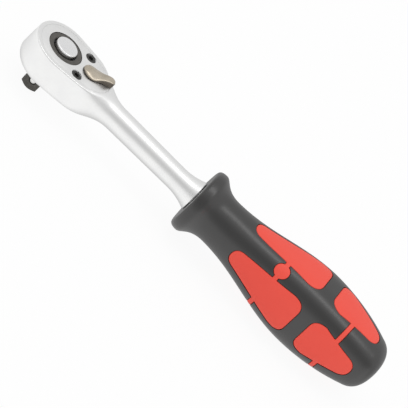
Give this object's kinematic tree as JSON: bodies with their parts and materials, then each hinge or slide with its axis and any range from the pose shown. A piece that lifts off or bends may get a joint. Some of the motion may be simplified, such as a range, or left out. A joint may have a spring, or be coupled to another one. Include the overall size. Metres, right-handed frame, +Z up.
{
  "type": "reversible ratchet",
  "caption": "Reversible quarter inch ratchet: round head with a square drive, release button and reversing lever, a slim shank and a moulded black and red handle.",
  "frame": {"origin": "middle of the end face of the square drive, on the drive axis", "axes": "+Z up the drive axis from the square's end to the release button; +X from the drive axis along the shank to the end of the handle; +Y to the left of the tool seen from above with the handle towards +X"},
  "size_m": [0.1674, 0.0274, 0.0287],
  "materials": {
    "satin_chrome": "satin chrome plate",
    "bright_chrome": "polished chrome plate",
    "black_phosphate": "black phosphate on steel",
    "warm_nickel": "satin nickel on cast steel",
    "bright_steel": "ground bright steel",
    "spring_steel": "plain spring steel",
    "black_plastic": "fine grained black moulding",
    "red_rubber": "satin red soft moulding",
    "black_rubber": "matt black rubber"
  },
  "bodies": {
    "tool_body": {"ratchet_body": "satin_chrome", "cover_plate": "satin_chrome", "cover_screw_left": "black_phosphate", "cover_screw_right": "black_phosphate", "gear_thrust_washer": "spring_steel", "handle_core": "black_plastic", "grip_inlay_front": "red_rubber", "grip_inlay_rear": "red_rubber"},
    "drive": {"drive_gear": "black_phosphate", "button_retaining_ring": "spring_steel"},
    "button": {"release_button": "bright_chrome", "release_pin": "bright_steel", "release_spring": "spring_steel"},
    "ball": {"detent_ball": "bright_steel"},
    "lever": {"reversing_lever": "warm_nickel", "pawl_plunger": "bright_steel", "pawl_plunger_spring": "spring_steel", "lever_retaining_clip": "spring_steel", "lever_seal_ring": "black_rubber"},
    "pawl": {"pawl": "bright_steel"}
  },
  "joints": [
    {"name": "drive_spin", "type": "hinge", "parent": "tool_body", "child": "drive", "pos_m": [0, 0, 0], "axis": [0, 0, 1], "continuous": true},
    {"name": "button_press", "type": "slide", "parent": "drive", "child": "button", "axis": [0, 0, -1], "range_m": [0, 0.0016], "stiffness_N_per_m": 1200, "springref_m": -0.002, "deforming": ["release_spring"]},
    {"name": "ball_retract", "type": "slide", "parent": "drive", "child": "ball", "axis": [0, 1, 0], "range_m": [0, 0.0006]},
    {"name": "lever_swing", "type": "hinge", "parent": "tool_body", "child": "lever", "pos_m": [0.0124, 0, 0.015], "axis": [0, 0, 1], "range_deg": [-40, 0]},
    {"name": "pawl_rock", "type": "hinge", "parent": "tool_body", "child": "pawl", "pos_m": [0.0104, 0, 0.015], "axis": [0, 0, 1], "range_deg": [0, 9.4]}
  ],
  "couplings": [
    {"joint": "ball_retract", "follows": "button_press", "ratio": 0.375},
    {"joint": "pawl_rock", "follows": "lever_swing", "ratio": -0.235}
  ]
}
